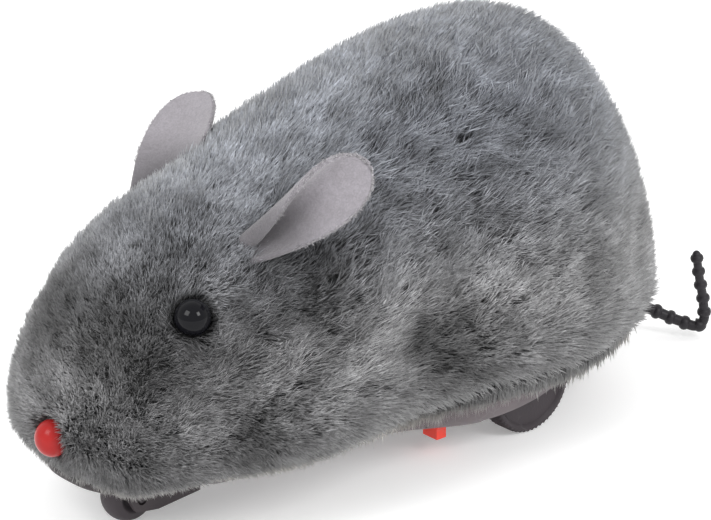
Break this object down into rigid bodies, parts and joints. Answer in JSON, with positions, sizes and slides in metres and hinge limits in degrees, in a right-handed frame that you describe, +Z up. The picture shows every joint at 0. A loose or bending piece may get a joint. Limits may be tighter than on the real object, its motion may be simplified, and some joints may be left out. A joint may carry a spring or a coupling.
{
  "type": "plush toy mouse on wheels",
  "caption": "Grey plush toy mouse over a plastic chassis with driven rear wheels, a swivelling front caster, a slide switch, felt ears, bead eyes and a ringed tail.",
  "frame": {"origin": "middle of the toy's footprint, on the floor", "axes": "-Y where the nose points, +X the mouse's left side, +Z up"},
  "size_m": [0.0718, 0.1506, 0.0744],
  "materials": {
    "plush": "long-pile plush, combed back",
    "felt": "pressed felt",
    "black_bead": "gloss",
    "red_bead": "gloss",
    "chassis_plastic": "satin",
    "steel": "plated",
    "tail_vinyl": "soft vinyl",
    "wheel_rubber": "matt",
    "fork_plastic": "satin",
    "red_plastic": "satin"
  },
  "bodies": {
    "body": {"plush_head": "plush", "plush_trunk": "plush", "ear_left": "felt", "ear_right": "felt", "eye_left": "black_bead", "eye_right": "black_bead", "nose": "red_bead", "chassis": "chassis_plastic", "battery_door": "chassis_plastic", "chassis_screw_1": "steel", "chassis_screw_2": "steel", "chassis_screw_3": "steel", "chassis_screw_4": "steel", "door_screw": "steel", "tail": "tail_vinyl"},
    "rear_wheels": {"rear_axle": "steel", "rear_wheel_left": "wheel_rubber", "rear_wheel_right": "wheel_rubber"},
    "fork": {"caster_fork": "fork_plastic"},
    "caster": {"caster_wheel": "wheel_rubber"},
    "switch": {"switch_knob": "red_plastic"}
  },
  "joints": [
    {"name": "rear_axle_turn", "type": "hinge", "parent": "body", "child": "rear_wheels", "pos_m": [0, 0.02, 0.0091], "axis": [1, 0, 0], "continuous": true},
    {"name": "fork_swivel", "type": "hinge", "parent": "body", "child": "fork", "pos_m": [0, -0.0527, 0.0116], "axis": [0, 0, 1], "continuous": true},
    {"name": "caster_roll", "type": "hinge", "parent": "fork", "child": "caster", "pos_m": [0, -0.0567, 0.0051], "axis": [1, 0, 0], "continuous": true},
    {"name": "switch_slide", "type": "slide", "parent": "body", "child": "switch", "axis": [0, -1, 0], "range_m": [0, 0.0026]}
  ]
}
